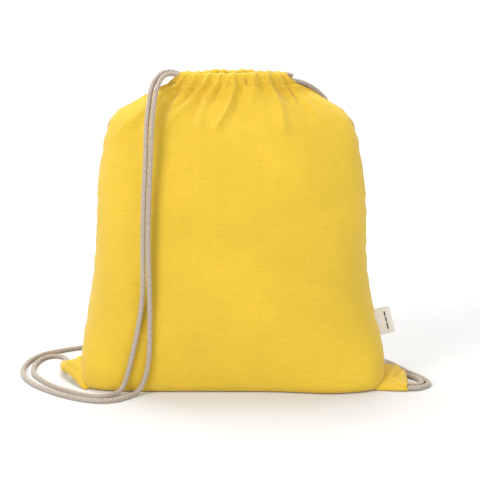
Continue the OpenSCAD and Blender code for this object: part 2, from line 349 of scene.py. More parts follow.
CORD_D = 0.005
ROUTES = {
    "left_strap_front_strand": [
        (-57.5, -8, 331), (-66, -11, 333), (-74, -18, 330), (-79, -27, 321),
        (-82, -38, 307), (-84, -52, 283), (-85, -65, 250), (-87, -73, 205),
        (-88, -76, 160), (-87, -77.5, 115), (-87, -77, 70), (-89, -76.5, 35),
        (-94, -76, 14), (-101, -80, 4), (-110, -93, 2.5), (-122, -105, 2.5),
        (-138, -109, 2.5), (-156, -103, 2.5), (-176, -89, 2.5),
        (-197, -68, 2.5), (-216, -42, 2.5), (-229, -12, 2.5),
        (-234, 20, 2.5), (-231, 52, 2.5), (-220, 80, 2.5), (-203, 96, 2.5),
        (-186, 108, 2.5), (-168, 118, 2.5), (-148, 126, 3)],
    "left_strap_back_strand": [
        (-57.5, 8, 331), (-67, 4, 334), (-77, -7, 332), (-85, -21, 321),
        (-88, -36, 303), (-90, -51, 280), (-90.5, -64, 249), (-92.5, -72, 205),
        (-93.5, -75, 160), (-94, -76, 115), (-98, -75, 80), (-106, -75, 42),
        (-113, -75, 16), (-119, -79, 5), (-127, -86, 2.8), (-140, -93, 2.5),
        (-156, -87, 2.5), (-173, -73, 2.5), (-191, -54, 2.5),
        (-207, -30, 2.5), (-219, -4, 2.5), (-223, 22, 2.5), (-222, 45, 2.5),
        (-218, 61, 2.5), (-211, 71, 2.5), (-202, 73, 2.5), (-194, 67, 2.5),
        (-190, 55, 3), (-189, 38, 5), (-188, 20, 7), (-187, 4, 8),
        (-183, -7, 10), (-176, -11, 13), (-170, -7, 16), (-168, 4, 17),
        (-168, 19, 15), (-169, 34, 10), (-170, 50, 6), (-170, 67, 3.5),
        (-167, 84, 2.5), (-160, 101, 2.5), (-149, 116, 3)],
    "right_strap_front_strand": [
        (57.5, -8, 325.5), (67, -5, 325), (78, 2, 321), (90, 12, 313),
        (100, 25, 302), (107, 39, 286), (113, 50, 266), (118, 58, 240),
        (122, 64, 205), (127, 67, 165), (131, 67, 125), (136, 66, 90),
        (142, 60, 58), (149, 54, 36), (157, 46, 20), (165, 35, 10),
        (171.5, 20, 6), (175, 4, 7), (176.5, -11, 10), (177.5, -25, 9.5),
        (179.5, -38, 6.5), (185, -47, 4.2), (193, -50, 3), (201, -46, 2.5),
        (204, -37, 2.5), (202, -26, 2.5), (195, -14, 2.5), (187, -2, 2.5),
        (182, 10, 2.5), (178, 22, 2.5), (172, 36, 2.5), (161, 52, 2.5),
        (146, 68, 2.5), (124, 86, 2.5), (99, 98, 2.5), (74, 107, 2.5),
        (48, 113, 2.5), (26, 117, 2.5), (12, 118, 4)],
    "right_strap_back_strand": [
        (57.5, 8, 325.5), (67, 12, 323), (77, 19, 317), (87, 27, 308),
        (95, 38, 294), (101, 48, 276), (106, 57, 254), (110, 64, 225),
        (115, 69, 190), (119, 72, 150), (124, 72, 112), (130, 69, 78),
        (135, 65, 52), (141, 59, 32), (149, 51, 19), (156, 42, 11),
        (162, 31, 7), (166.3, 16, 6), (168, 0, 8.5), (168.5, -14, 11),
        (168.5, -30, 9.5), (172, -46, 6.8), (181, -59, 4), (193, -62, 3),
        (204, -55, 2.5), (211, -41, 2.5), (208, -25, 2.5), (201, -10, 2.5),
        (194, 3, 2.5), (189, 15, 2.5), (184, 27, 2.5), (178, 41, 2.5),
        (167, 57, 2.5), (152, 73, 2.5), (132, 90, 2.5), (112, 103, 2.5),
        (89, 114, 2.5), (60, 122, 2.5), (34, 124, 2.5), (14, 121, 4)],
}
# A route's curve takes this many steps from one point to the next.
SPAN_STEPS = 12
RING_STEP = 0.0006
SIDES = 20
BRAID_YARNS = 5
BRAID_PITCH = 0.0052
# The radius in the grooves between yarns, and how far a yarn stands out, as shares of the cord's.
GROOVE_R = 0.92
YARN_RISE = 0.16


def braid_height(around, along):
    """Height, 0 to 1, of yarns that cross over and under each other in two directions."""
    a = around * BRAID_YARNS + along / BRAID_PITCH
    b = around * BRAID_YARNS - along / BRAID_PITCH
    fa, fb = a % 1, b % 1
    over = (np.floor(a) + np.floor(b)) % 2 < 1
    across = np.where(over, fa, fb)
    lengthwise = np.where(over, fb, fa)
    return np.sin(math.pi * across) ** 0.7 * (0.45 + 0.55 * np.sin(math.pi * lengthwise))


def braided_tube(name, line, diameter):
    """A braided cord round a line."""
    line = resample(line, int(arc_lengths(line)[-1] / RING_STEP))
    around = np.arange(SIDES) / SIDES
    height = braid_height(around[None], arc_lengths(line)[:, None])
    points = tube_points(line, diameter / 2 * (GROOVE_R + YARN_RISE * height), SIDES)
    obj = grid_mesh(name, points, tube_uv(line, diameter, SIDES), CORD, wrap=True, flip=True)
    close_ends(obj, len(line), SIDES)
    attribute = obj.data.attributes.new("braid_height", "FLOAT", "POINT")
    attribute.data.foreach_set("value", height.astype(np.float32).ravel())
    return obj


def make_strand(node, route):
    """One strand of a strap, from its end of the mouth to its knot."""
    line = spline(np.array(route) * MM, SPAN_STEPS)
    obj = braided_tube(node + "_braid", line, CORD_D)
    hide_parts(node)
    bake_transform(obj)


for node, route in ROUTES.items():
    make_strand(node, route)


# ---------------------------------------------------------------- the sack's skin

# The filled bag's sections from the bottom seam up: height, half width on the left and on the
# right, half depth, and how square the section is at the front and at the back.
OUTLINE = np.array([
    (0, 150, 150, 0, 5, 2.2), (0, 154, 154, 32, 5, 2.8),
    (0, 158, 158, 62, 6.5, 3.1), (4, 161, 161, 70, 7, 3.2),
    (16, 164, 164, 72.5, 6, 3), (42, 163, 162, 74, 4.4, 2.8),
    (82, 157, 152, 76.5, 3.1, 2.6), (132, 150, 145, 77, 2.4, 2.3),
    (185, 147, 144, 73, 2.2, 2.2), (220, 145, 141, 67, 2.2, 2.2),
    (250, 140, 136, 58, 2.1, 2.1), (272, 135, 131, 48, 2, 2),
    (287, 128, 123, 39, 2, 2), (300, 110, 107, 30, 2, 2),
    (311, 88, 87, 23, 2, 2), (320.5, 64, 66, 19, 2, 2)])
CLOTH_W = 0.380
CLOTH_T = 0.0006
STITCH_Z = 321.0
TOP_Z = 334.4
CREST_H = 2.5
# Each lip is a shallow arc: its radius, and how far its middle lies from the bag's middle plane.
LIP_R = 200.0
LIP_Y = 16.0
COLUMNS = 300
ACROSS = np.linspace(-1, 1, COLUMNS + 1)
ROW_STEP = 1.6
FOLD_GAIN = 1.5
# A valley of the casing goes no deeper than this, because the cords lie under it.
VALLEY_STOP = 0.75
# A bulge of the front, low on the right: how far it stands out, its middle, and how far it
# reaches across and up.
BULGE, BULGE_X, BULGE_W, BULGE_H = 9.0, 105, 45, 30
# Half of the gap between the two panels where they are sewn together, and over the floor.
SEAM_HALF_GAP = 0.35
FLOOR_GAP = 0.3
# The panels bend into the lips from LIP_FROM_Z up, and spread again from FLARE_FROM_Z up.
LIP_FROM_Z = 304
FLARE_FROM_Z = 308
FLARE = 0.08
# Half the casing's width at heights above its stitches.
HEM_UP = (-2, 0, 6, 9, 13)
HEM_HALF = (69, 69.6, 63, 59, 55)
# How much of a fold is left along the casing's cloth, from its foot outside to its foot inside.
HEM_WAY = (0, 0.45, 0.6, 0.9, 1)
HEM_FOLD = (1, 0.85, 0.5, 0.15, 0)
# The shares of that way at which the cloth passes its crest and leaves the casing's outside.
HEM_CREST = 0.52
HEM_OUTSIDE = 0.55
# Where the back casing stands up behind the front one: middle, half width and rise.
BACK_RISES = ((-15, 9, 1.5), (14, 8, 1.3))
# The slow waves and the seam puckers die away towards this height.
FILLED_TO_Z = 318


def lip_arc(x):
    """How far from the bag's middle plane the middle of a casing lies, in mm."""
    return LIP_Y - LIP_R + np.sqrt(LIP_R ** 2 - np.clip(x, -80, 80) ** 2)


def outline_rows():
    """The outline as a curve with rows ROW_STEP apart along the cloth."""
    fine = spline(OUTLINE, 60)
    s = arc_lengths(fine[:, [0, 3]])
    u = np.linspace(0, s[-1], int(s[-1] / ROW_STEP))
    return np.stack([np.interp(u, s, fine[:, k]) for k in range(fine.shape[1])], 1)


def hem_section():
    """A casing's cloth from its stitches up its outer face, over the cords and down
    inside to the stitches again: distance out from the casing's middle, and height."""
    return spline([
        (3.4, 0.0), (3.5, 1.2), (3.7, 2.8), (3.9, 5.2), (3.8, 8.6), (3.0, 11.4),
        (1.2, 12.9), (-0.8, 12.9), (-2.8, 11.6), (-3.6, 9.0), (-3.5, 5.4),
        (-2.6, 2.6), (1.2, 0.9), (2.0, -2.0)], 6)


# No crease is felt further than this from its points.
REACH = 45


class Fold:
    """A crease along given points (x, z) of the cloth, in mm: a ridge where height is
    above 0, a valley below. widths are those of its two ends, fade the share of its length
    over which it dies away at its far end."""

    def __init__(self, points, height, widths, fade=0.5, start=0.0, sharp=1.6):
        self.points = np.array(points, float)
        self.height, self.widths = height, widths
        self.fade, self.start, self.sharp = fade, start, sharp

    def add_to(self, x, z, out):
        """Adds the crease's height at the places (x, z), all flat arrays, to out."""
        p = self.points
        s = arc_lengths(p)
        near = (x > p[:, 0].min() - REACH) & (x < p[:, 0].max() + REACH) & (z > p[:, 1].min() - REACH)
        if not near.any():
            return
        q = np.stack([x[near], z[near]], 1)
        best = np.full(len(q), 1e9)
        along = np.zeros(len(q))
        for i in range(len(p) - 1):
            d = p[i + 1] - p[i]
            t = np.clip(((q - p[i]) @ d) / (d @ d), 0, 1)
            r = np.linalg.norm(q - p[i] - t[:, None] * d, axis=1)
            closer = r < best
            best = np.where(closer, r, best)
            along = np.where(closer, (s[i] + t * (s[i + 1] - s[i])) / s[-1], along)
        width = self.widths[0] + (self.widths[1] - self.widths[0]) * along
        strength = smooth((1 - along) / self.fade)
        if self.start > 0:
            strength = strength * smooth(along / self.start)
        out[near] += self.height * strength * np.exp(-(best / width) ** self.sharp)


FRONT_FOLDS = [
    Fold([(-50, 335), (-58, 322), (-76, 300), (-88, 280)], 1.7, (2.2, 6)),
    Fold([(-44, 335), (-52, 322), (-66, 305), (-84, 276)], -1.7, (1.8, 5)),
    Fold([(-38, 335), (-46, 320), (-60, 304), (-78, 282)], 2.0, (2.2, 5)),
    Fold([(-30, 335), (-38, 320), (-52, 304), (-68, 288)], -2.2, (1.8, 4)),
    Fold([(-24, 335), (-33, 320), (-48, 303), (-70, 282), (-84, 262)], 2.6, (3, 6)),
    Fold([(-17, 335), (-22, 322), (-34, 309), (-40, 292), (-48, 268)], -2.8, (2, 6.5)),
    Fold([(-13, 335), (-17, 324), (-29, 311), (-34, 292), (-38, 262)], 2.5, (2, 7), 0.4),
    Fold([(-7, 335), (-10, 324), (-22, 305), (-27, 296)], -2.4, (1.5, 3.5)),
    Fold([(-4, 334), (-6, 326), (-13, 312), (-18, 298)], 1.3, (1.5, 4)),
    Fold([(1, 335), (2, 318), (-5, 298), (-21, 272)], 3.3, (2.3, 4.2), 0.18, 0, 1.3),
    Fold([(7, 330), (8, 314), (3, 296), (-8, 276)], -1.6, (2, 6)),
    Fold([(1.5, 331), (-1, 325)], -1.4, (1.2, 1.2)),
    Fold([(9, 329), (10, 316)], -2.4, (1.4, 1.4), 0.5, 0.2),
    Fold([(13.5, 329), (15, 316)], -2.2, (1.4, 1.6), 0.5, 0.2),
    Fold([(11.5, 335), (12, 320)], 1.2, (1.4, 1.4)),
    Fold([(21, 335), (22, 320), (18, 300)], 2.9, (5, 11), 0.45),
    Fold([(27, 332), (30, 322), (34, 313)], -2.6, (1.6, 1.8), 0.35),
    Fold([(35, 335), (41, 318), (50, 298), (56, 266)], 2.9, (2.4, 6.5), 0.25),
    Fold([(41, 335), (46, 323), (57, 310), (73, 293), (80, 283)], -2.5, (1.8, 5)),
    Fold([(47, 335), (54, 321), (66, 302), (78, 283)], 2.4, (2.2, 6)),
    Fold([(51, 333), (61, 316), (76, 298), (88, 282)], -2.2, (1.8, 5)),
    Fold([(55, 333), (68, 314), (90, 290), (104, 272)], 2.0, (2.4, 8)),
    Fold([(62, 319), (84, 304), (106, 286)], -1.3, (2, 6)),
    Fold([(66, 318), (90, 303), (114, 285)], 1.2, (2, 6)),
    Fold([(-62, 320), (-84, 305), (-104, 286), (-124, 262)], 1.4, (2, 7)),
    Fold([(-58, 318), (-76, 304), (-94, 286), (-110, 262)], -1.3, (2, 6)),
    Fold([(-103, 292), (-120, 272), (-137, 252)], 1.2, (4, 6), 0.5, 0.3),
    Fold([(-40, 232), (-49, 240), (-58, 244)], 0.9, (4, 5), 0.5, 0.4),
    Fold([(30, 292), (18, 286), (4, 288)], -1.1, (7, 7), 0.5, 0.4),
]


def back_folds():
    """The unseen back has the same kind of gathers, fanned out evenly."""
    folds = []
    draw = np.random.default_rng(21)
    for k, x in enumerate(np.linspace(-52, 52, 23)):
        x = x + draw.uniform(-1, 1)
        reach = draw.uniform(26, 72)
        spread = 1 + 0.5 * reach / 40
        points = [(x, 335), (x * 1.15, 320), (x * (1 + spread * 0.5), 320 - reach * 0.5),
                  (x * (1.1 + spread * 0.8) + draw.uniform(-5, 5), 320 - reach)]
        height = (2.6 if k % 2 else -2.4) * draw.uniform(0.7, 1.1)
        folds.append(Fold(points, height, (2, draw.uniform(4.5, 7.5)), draw.uniform(0.25, 0.5)))
    return folds


def soft_waves(x, z, phase):
    """Slow unevenness of the filled cloth."""
    big = (0.9 * np.sin(x / 41 + phase) * np.sin(z / 57 + 1.3 * phase)
           + 0.6 * np.sin(x / 23 - z / 47 + 2 * phase) + 0.35 * np.sin(x / 13 + z / 29 + phase))
    return big * smooth(z / 40)


def seam_puckers(s, z, phase):
    """Small ripples beside the side seams."""
    edge = np.exp(-((1 - np.abs(s)) / 0.07))
    ripple = np.sin(z / 4.1 + phase) + 0.7 * np.sin(z / 6.7 + 2.1 * phase) + 0.6 * np.sin(z / 2.9 + 0.5)
    return 0.42 * ripple * edge * smooth(z / 30)


def fine_gathers(s, z, seed):
    """Small uneven gathers at the casing that die away below it."""
    draw = np.random.default_rng(seed)
    total = np.zeros_like(s)
    for pitch in (0.118, 0.081, 0.057, 0.043):
        phase = draw.uniform(0, 6.28)
        wobble = 0.5 * np.sin(s * draw.uniform(4, 7) + phase)
        total += np.sin(2 * math.pi * s / pitch + phase + 4 * wobble) * pitch * 3.6
    return total * np.clip(np.exp((z - 327) / 14), 0, 1)


def panel_sheet(side):
    """The smooth cloth of a panel up to its casing's stitches: x, y and z in mm."""
    rows = outline_rows()
    turn = np.sin(ACROSS * math.pi / 2)[None]
    half = np.where(turn < 0, rows[:, 1:2], rows[:, 2:3])
    square = rows[:, 4:5] if side < 0 else rows[:, 5:6]
    x = turn * half
    y = rows[:, 3:4] * np.clip(1 - np.abs(turn) ** square, 0, 1) ** (1 / square)
    z = np.maximum(rows[:, :1], 0) + 0.5 * np.abs(turn) ** 20
    if side < 0:
        bulge = np.exp(-((x - BULGE_X) / BULGE_W) ** 2 - (z / BULGE_H) ** 2)
        y += BULGE * bulge * smooth(rows[:, 3:4] / 60)
    y = np.maximum(y, SEAM_HALF_GAP)
    to_lip = smooth((z - LIP_FROM_Z) / (STITCH_Z - LIP_FROM_Z))
    y = y * (1 - to_lip) + (lip_arc(x) + hem_section()[0, 0]) * to_lip
    x = x * (1 + FLARE * smooth((z - FLARE_FROM_Z) / (STITCH_Z - FLARE_FROM_Z)))
    return x, y, z


def casing_sheet():
    """The smooth cloth of a casing, over the cords and down inside: x, y and z in mm."""
    hem = hem_section()[1:]
    x = np.sin(ACROSS * math.pi / 2)[None] * np.interp(hem[:, 1], HEM_UP, HEM_HALF)[:, None]
    return x, lip_arc(x) + hem[:, :1], STITCH_Z + hem[:, 1:] + 0 * x


def folds_on(side, s, x, z):
    """The height of all folds of one panel at every point of its cloth."""
    folds = np.zeros(x.size)
    for fold in (FRONT_FOLDS if side < 0 else back_folds()):
        fold.add_to(x.ravel(), z.ravel(), folds)
    return FOLD_GAIN * folds.reshape(x.shape) + fine_gathers(s, z, 3 if side < 0 else 4)


def panel_points(side):
    """The outer face of one panel with its casing, (rows, columns, 3) in metres, and its UV."""
    panel, casing = panel_sheet(side), casing_sheet()
    x, y, z = (np.r_[low, high] for low, high in zip(panel, casing))
    panel_rows, hem_rows = len(panel[0]), len(casing[0]) + 1
    row = np.arange(len(z))[:, None]
    s = np.broadcast_to(ACROSS[None], x.shape)
    to_seam = 1 - np.abs(s)

    way = np.maximum(row - panel_rows + 1, 0) / hem_rows
    folds = folds_on(side, s, x, np.where(way < HEM_CREST, z, TOP_Z))
    ends = smooth(to_seam / 0.05)
    lift = folds * np.interp(way, HEM_WAY, HEM_FOLD) * ends
    waves = soft_waves(x, z, 0.6 if side < 0 else 2.3)
    lift += waves * smooth(to_seam / 0.25) * smooth((FILLED_TO_Z - z) / 60)
    lift += seam_puckers(s, z, 0.4 if side < 0 else 1.9) * smooth((FILLED_TO_Z - z) / 30)
    in_casing = smooth((z - 316) / 5) * (row < panel_rows + HEM_OUTSIDE * hem_rows)
    shallow = np.where(lift < 0, -VALLEY_STOP * np.tanh(-lift / VALLEY_STOP), lift)
    lift = lift * (1 - in_casing) + shallow * in_casing

    points = np.stack([x, side * y, z], -1)
    normal = np.cross(np.gradient(points, axis=1), np.gradient(points, axis=0)) * -side
    normal /= np.maximum(np.linalg.norm(normal, axis=2), 1e-9)[..., None]
    top = np.exp(-((z - TOP_Z) / CREST_H) ** 2) * (row >= panel_rows)
    points += normal * (lift * (1 - 0.75 * top))[..., None]
    points[..., 2] += 0.05 * folds * top * ends
    if side > 0:
        for middle, half, rise in BACK_RISES:
            points[..., 2] += top * rise * smooth(1.6 - np.abs(x - middle) / half)
    points[..., 2] += 0.35 * top * np.sin(x / 7.3 + 0.8 * side) * np.sin(x / 17 + 1)
    points[..., 2] = np.maximum(points[..., 2], FLOOR_GAP)
    nearest = 0.3 + 2.5 * smooth((z - 300) / 20)
    points[..., 1] = side * np.maximum(side * points[..., 1], nearest)

    length = arc_lengths(points[:, COLUMNS // 2])
    uv = np.stack(np.broadcast_arrays(s * CLOTH_W / 2 / MM, length[:, None]), -1)
    return points * MM, uv * MM


def make_panel(side):
    """One panel and its casing, which are one cloth."""
    name = "front" if side < 0 else "back"
    points, uv = panel_points(side)
    obj = grid_mesh(name + "_panel_cloth", points, uv, COTTON, flip=side > 0)
    thicken(obj, CLOTH_T)
    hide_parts(name + "_panel", name + "_casing")
    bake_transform(obj)


make_panel(-1)
make_panel(1)


# ---------------------------------------------------------------- cords in the casings

# The casings end this far from the middle of the mouth, and the cords lie one over the other.
CASING_HALF = 56
LIP_TURN = math.asin(CASING_HALF / LIP_R)
CASING_MID_Z = STITCH_Z + 6.8
RUN_Z = {"left": CASING_MID_Z + 2.8, "right": CASING_MID_Z - 2.8}
RETURN_R = 8.33
RETURN_X = 53.67
# The right cord's runs stop just short of the left cord's turn, which lies over their ends, so
# that they pass clear of it when a lip opens. Run ends are shares of LIP_TURN, and a return's
# sweep is in radians each way.
RUN_ENDS = {"left": (-1.02, 1.05), "right": (-1.02, 0.982)}
RETURN_SWEEP = {"left": 0.9, "right": 1.25}


def make_runs():
    """Each cord's runs through both casings, and its turn at the far end of the mouth."""
    for cord, z in RUN_Z.items():
        for side, lip in ((-1, "front"), (1, "back")):
            a = np.linspace(*RUN_ENDS[cord], 60) * LIP_TURN
            y = side * (LIP_Y - LIP_R + LIP_R * np.cos(a))
            line = np.stack([LIP_R * np.sin(a), y, np.full_like(a, z)], 1) * MM
            obj = braided_tube(f"{cord}_cord_{lip}_run_braid", line, CORD_D)
            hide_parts(f"{cord}_cord_{lip}_run")
            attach(obj, lip + "_lip")
        end = 1 if cord == "left" else -1
        a = np.linspace(-1, 1, 40) * RETURN_SWEEP[cord]
        x = end * (RETURN_X + RETURN_R * np.cos(a))
        turn = np.stack([x, RETURN_R * np.sin(a), np.full_like(a, z)], 1)
        obj = braided_tube(cord + "_cord_return_braid", turn * MM, CORD_D)
        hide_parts(cord + "_cord_return")
        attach(obj, "sack")


make_runs()


# ---------------------------------------------------------------- knots

# The knot is a trefoil: its scale, and how far it rises and dips where it crosses itself.
KNOT_SCALE = 2.0
KNOT_RISE = 2.6
KNOT_D = CORD_D * 0.96
FIBRES = 26
FIBRE_D = 0.0005


def turned(degrees):
    """The rotation about +Z that rows of points are multiplied by."""
    c, s = math.cos(math.radians(degrees)), math.sin(math.radians(degrees))
    return np.array([[c, s, 0], [-s, c, 0], [0, 0, 1]])


def fray(name, line, draw):
    """Loose fibres at a cord's cut end."""
    ahead = line[-1] - line[-2]
    ahead /= np.linalg.norm(ahead)
    across = np.cross(ahead, (0, 0, 1))
    fibres = []
    for i in range(FIBRES):
        a = draw.uniform(0, 2 * math.pi)
        r = CORD_D * 0.42 * math.sqrt(draw.uniform())
        root = line[-1] + r * (math.cos(a) * across + math.sin(a) * np.array((0, 0, 1)))
        tip = root + ahead * draw.uniform(0.004, 0.008) + across * r * math.cos(a) * 0.9
        tip[2] = max(tip[2] - 0.001 * draw.uniform(), 0.0006)
        middle = (root + tip) / 2 + across * draw.uniform(-4e-4, 4e-4)
        fibre = spline([root - ahead * 0.001, root, middle, tip], 3)
        # The fibres have no braid_height, so they take the braid's darkest colour, its painted groove
        # shade.
        fibres.append(thin_tube(f"{name}_{i}", fibre, FIBRE_D, 5, CORD))
    return fibres


def make_knot(name, at, degrees):
    """An overhand knot tied in both strands, with two loose ends that fray."""
    t = np.linspace(0, 2 * math.pi, 200)
    curve = KNOT_SCALE * np.stack([
        np.sin(t) + 2 * np.sin(2 * t),
        np.cos(t) - 2 * np.cos(2 * t),
        -np.sin(3 * t) * KNOT_RISE / KNOT_SCALE], 1)
    turn = turned(degrees)
    centre = np.array([at[0], at[1], CORD_D / 2 / MM + KNOT_RISE])
    knot = braided_tube(name + "_tied", (curve @ turn + centre) * MM, KNOT_D)
    draw = np.random.default_rng(31)
    ends = []
    for k in (-1, 1):
        tail = spline([(2, k * 1.5, -1), (6, k * 3.2, -KNOT_RISE), (13, k * 4.2, -KNOT_RISE),
                       (22, k * 7.5, -KNOT_RISE), (31, k * 8.5, -KNOT_RISE)], 10)
        line = (tail @ turn + centre) * MM
        ends.append(braided_tube(f"{name}_end_{k + 2}", line, CORD_D))
        ends += fray(f"{name}_fibre_{k + 2}", line, draw)
    join_into(knot, ends)
    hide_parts(name)
    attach(knot, "sack")


make_knot("left_knot", (-142, 124), 20)
make_knot("right_knot", (5, 120), 185)


# ---------------------------------------------------------------- corners

EAR_SIDES = 64
EAR_FLOOR_GAP = 0.35
TUNNEL_D = 7.2
TUNNEL_SIDES = 28
TUNNEL_RINGS = 70


def make_ear(name, stations, creases):
    """A corner of the sack that is pulled out and pressed flat: stations along it, each with
    its centre, half of its height as a vector, and half of its thickness, in mm."""
    rows = spline(stations, 14)
    centre, half, thick = rows[:, :3], rows[:, 3:6], rows[:, 6:7]
    across = np.cross(np.gradient(centre, axis=0), half)
    across /= np.linalg.norm(across, axis=1)[:, None]
    angle = np.linspace(0, 2 * math.pi, EAR_SIDES, endpoint=False)
    high = np.sign(np.cos(angle)) * np.abs(np.cos(angle)) ** 0.9
    wide = np.sign(np.sin(angle)) * np.abs(np.sin(angle)) ** 0.8
    points = (centre[:, None] + high[None, :, None] * half[:, None]
              + (wide[None] * thick)[..., None] * across[:, None])
    folds = np.zeros(points[..., 0].size)
    for crease in creases:
        crease.add_to(points[..., 0].ravel(), points[..., 1].ravel(), folds)
    s = arc_lengths(centre)[:, None]
    ripple = 0.35 * np.sin(s / 2.7 + 2 * np.cos(angle)[None]) * smooth(s / s[-1] * 1.5)
    lift = wide[None] * (folds.reshape(ripple.shape) + ripple)
    points += lift[..., None] * across[:, None]
    points[..., 2] = np.maximum(points[..., 2], EAR_FLOOR_GAP)
    size = np.linalg.norm(half, axis=1).mean()
    uv = np.stack(np.broadcast_arrays(high[None] * size, s), -1)
    obj = grid_mesh(name, points * MM, uv * MM, COTTON, wrap=True)
    close_ends(obj, len(centre), EAR_SIDES)
    return obj


def make_tunnel(name, node, first, last):
    """A hollow sleeve of cloth, gathered a little, round one stretch of a strand."""
    strand = spline(ROUTES[node], SPAN_STEPS)
    line = resample(strand[first * SPAN_STEPS:int(last * SPAN_STEPS) + 1], TUNNEL_RINGS)
    a = 2 * math.pi * np.arange(TUNNEL_SIDES)[None] / TUNNEL_SIDES
    s = arc_lengths(line)[:, None]
    radius = TUNNEL_D / 2 + 0.22 * np.sin(s / 1.3 + np.sin(a)) + 0.15 * np.sin(3 * a + s / 5)
    radius += 0.5 * np.exp(-s / 2) + 0.5 * np.exp((s - s[-1]) / 2)
    points = tube_points(line, radius, TUNNEL_SIDES)
    points[..., 2] = np.maximum(points[..., 2], FLOOR_GAP)
    uv = tube_uv(line, TUNNEL_D, TUNNEL_SIDES)
    return thicken(grid_mesh(name, points * MM, uv * MM, COTTON, wrap=True, flip=True), CLOTH_T)


def make_corner(side, stations, creases, tunnels):
    """One corner: its ear and the tunnels for its strands, each given by the strand and the
    places of the tunnel's two ends among the strand's points."""
    ear = make_ear(side + "_corner_cloth", stations, creases)
    join_into(ear, [make_tunnel(f"{side}_corner_tunnel_{i}", *t) for i, t in enumerate(tunnels)])
    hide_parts(side + "_corner")
    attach(ear, "sack")


make_corner(
    "left",
    [(-150, -36, 13, -1, 17, 11, 5), (-161, -38, 12.5, -1.5, 19.5, 11.8, 4.6),
     (-171, -28, 13, -2.2, 13.5, 9.2, 4.3), (-181, -15.5, 13, -1.5, 6.5, 5.4, 3.9),
     (-184, -13, 13, -1, 5, 4.4, 1.6)],
    [Fold([(-182, -14), (-172, -26), (-158, -42)], 0.9, (1.5, 3)),
     Fold([(-180, -20), (-168, -38), (-158, -52)], -0.9, (1.2, 2.5)),
     Fold([(-181, -9), (-170, -14), (-160, -20)], -0.7, (1.2, 3))],
    [("left_strap_back_strand", 29, 34)])
make_corner(
    "right",
    [(148, -38, 9, 0, 22, 8, 6), (163, -39.5, 9, 2, 24.5, 7.2, 5), (176, -39, 8.2, 2, 27, 6.2, 4.4),
     (184.5, -40.5, 6, 0.5, 26, 4, 3.4), (187.5, -41, 5.2, 0.5, 24.5, 3.2, 1.2)],
    [Fold([(184, -15), (178, -38), (170, -60)], -3.0, (1.8, 2.2), 0.15),
     Fold([(187, -22), (181, -42), (175, -62)], 1.8, (2.6, 3)),
     Fold([(180, -14), (173, -36), (164, -58)], 1.4, (2.4, 3)),
     Fold([(176, -12), (166, -24), (152, -40)], -0.7, (1.5, 4))],
    [("right_strap_front_strand", 18, 21), ("right_strap_back_strand", 19, 22.45)])


# ---------------------------------------------------------------- seams and stitches

STITCH_D = 0.0005
STITCH_LIFT = 0.0001
# The casing's stitches lie on this row of its cloth and take up this many columns of it.
STITCH_ROW = 9
STITCH_SPAN = 3
STITCH_PITCH = 5
STITCH_COLUMNS = (10, COLUMNS - 12)
SEAM_W = 0.008
SIDE_SEAM_Z = (0.012, 0.297)
BOTTOM_SEAM_HALF = 0.140
OVERLOCK_PITCH = 0.0012
OVERLOCK_D = 0.0004


def stitch_row(name, ends):
    """Separate stitches, each a short thread that dips into the cloth at both ends. ends holds
    the two ends of each stitch and the way out of the cloth."""
    parts = []
    t = np.linspace(0, 1, 7)[:, None]
    for i, (a, b, out) in enumerate(np.asarray(ends, float)):
        line = a + (b - a) * t + out * (np.sin(math.pi * t) * 0.9 - 0.25) * STITCH_D
        parts.append(thin_tube(f"{name}_{i}", line, STITCH_D, 7, THREAD))
    return join_into(parts[0], parts[1:])


def make_casing_stitches(side):
    """The line that closes a casing, sewn through both layers of its gathered cloth."""
    name = "front" if side < 0 else "back"
    points, _ = panel_points(side)
    row = len(outline_rows()) + STITCH_ROW
    line = points[row]
    out = np.cross(np.gradient(line, axis=0), points[row + 2] - points[row - 2]) * -side
    out /= np.linalg.norm(out, axis=1)[:, None]
    raised = line + out * STITCH_LIFT
    columns = range(*STITCH_COLUMNS, STITCH_PITCH)
    ends = [(raised[i], raised[i + STITCH_SPAN], out[i + 1]) for i in columns]
    obj = stitch_row(name + "_casing_stitches", ends)
    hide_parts(name + "_casing_stitching")
    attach(obj, name + "_lip")


def seam_allowance(name, edge, inward, node):
    """Two raw edges lying together inside the bag, overlocked along their free side."""
    w = np.linspace(0, 1, 9)[None]
    s = arc_lengths(edge)[:, None]
    wave = 0.0006 * np.sin(s / 0.011) + 0.0004 * np.sin(s / 0.0047)
    normal = np.cross(np.gradient(edge, axis=0), inward)
    normal /= np.linalg.norm(normal, axis=1)[:, None]
    points = (edge[:, None] + SEAM_W * w[..., None] * inward[:, None]
              + (wave * w)[..., None] * normal[:, None])
    uv = np.stack(np.broadcast_arrays(w * SEAM_W, s), -1)
    obj = thicken(grid_mesh(name, points, uv, ALLOWANCE), 2 * CLOTH_T, 0.0)
    steps = int(s[-1, 0] / OVERLOCK_PITCH)
    place = np.arange(steps) * (len(edge) - 1) / steps
    free = np.stack([np.interp(place, np.arange(len(edge)), axis) for axis in points[:, -1].T], 1)
    near = place.astype(int)
    turn = math.pi / 2 * np.arange(steps)[:, None]
    path = (free - inward[near] * (0.0016 + 0.0019 * np.cos(turn))
            + normal[near] * 0.0008 * np.sin(turn))
    join_into(obj, [thin_tube(name + "_overlock", spline(path, 3), OVERLOCK_D, 5, THREAD)])
    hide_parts(node)
    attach(obj, "sack")


